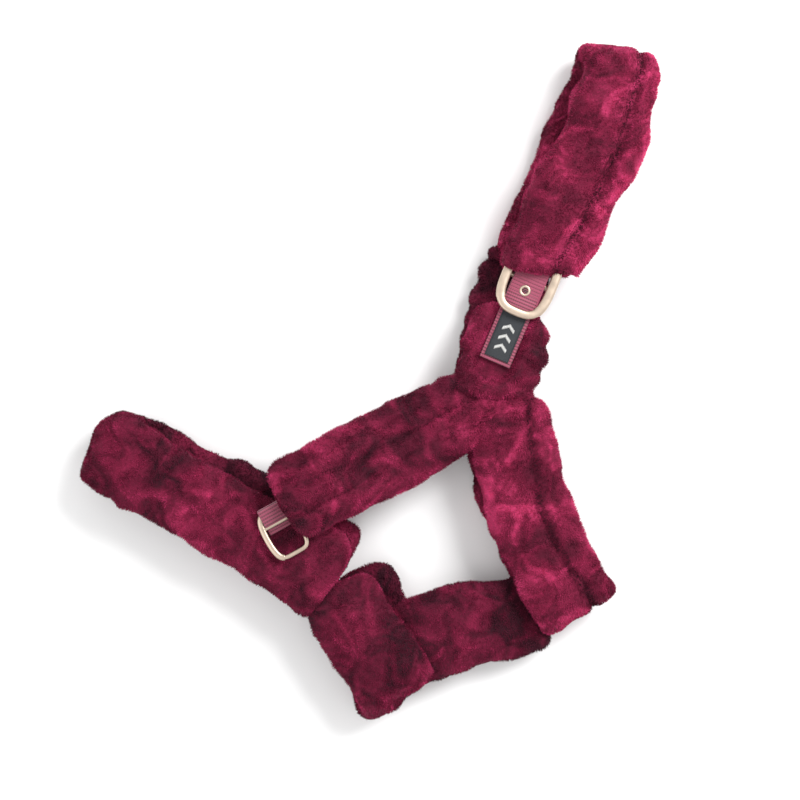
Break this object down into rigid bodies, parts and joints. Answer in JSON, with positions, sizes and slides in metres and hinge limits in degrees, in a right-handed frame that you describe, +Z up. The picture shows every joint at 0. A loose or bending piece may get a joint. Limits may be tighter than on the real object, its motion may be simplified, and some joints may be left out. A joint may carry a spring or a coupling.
{
  "type": "horse head collar",
  "caption": "Horse head collar lying on its side: webbing straps in padded fleece sleeves, with a centre-bar buckle at the cheek and metal rings at the strap junctions.",
  "frame": {"origin": "on the floor, under the middle of the head collar's box", "axes": "+X along the view's right with the collar lying on its far side, +Y towards the crown, +Z up off the floor"},
  "size_m": [0.4428, 0.5235, 0.074],
  "materials": {
    "fleece": "deep-pile mottled plush",
    "webbing": "ribbed woven webbing",
    "hardware": "satin pale gold plating",
    "label": "tight flat weave"
  },
  "bodies": {
    "cheek_piece": {"cheek_sleeve_near": "fleece", "cheek_sleeve_far": "fleece", "cheek_webbing_near": "webbing", "cheek_webbing_far": "webbing", "pad_near": "fleece", "pad_far": "fleece", "pad_webbing_far": "webbing", "anchor_strap": "webbing", "woven_label": "label", "crown_sleeve": "fleece", "crown_webbing": "webbing", "eyelets": "hardware", "buckle_frame": "hardware", "upper_ring_near": "hardware", "upper_ring_far": "hardware", "side_ring_far": "hardware"},
    "noseband": {"nose_sleeve": "fleece", "nose_webbing": "webbing", "chin_sleeve": "fleece", "chin_webbing": "webbing", "chin_ring": "hardware", "side_ring_near": "hardware"},
    "throat_strap": {"throat_sleeve": "fleece", "throat_webbing": "webbing"},
    "jaw_strap": {"jaw_sleeve": "fleece", "jaw_webbing": "webbing"},
    "tongue": {"tongue": "hardware"}
  },
  "joints": [
    {"name": "noseband_swing", "type": "hinge", "parent": "cheek_piece", "child": "noseband", "pos_m": [-0.0658, -0.1177, 0], "axis": [0, 0, 1], "range_deg": [-4, 4]},
    {"name": "throat_swing", "type": "hinge", "parent": "cheek_piece", "child": "throat_strap", "pos_m": [0.0888, -0.027, 0], "axis": [0, 0, 1], "range_deg": [-2.48, 2.48]},
    {"name": "jaw_swing", "type": "hinge", "parent": "noseband", "child": "jaw_strap", "pos_m": [0.0278, -0.199, 0], "axis": [0, 0, 1], "range_deg": [-6.88, 6.88]},
    {"name": "tongue_lift", "type": "hinge", "parent": "cheek_piece", "child": "tongue", "pos_m": [0.1218, 0.074, 0.04], "axis": [0.9205, -0.3907, 0], "range_deg": [0, 3]}
  ],
  "couplings": [
    {"joint": "throat_swing", "follows": "noseband_swing", "ratio": 0.62},
    {"joint": "jaw_swing", "follows": "noseband_swing", "ratio": -1.72}
  ]
}
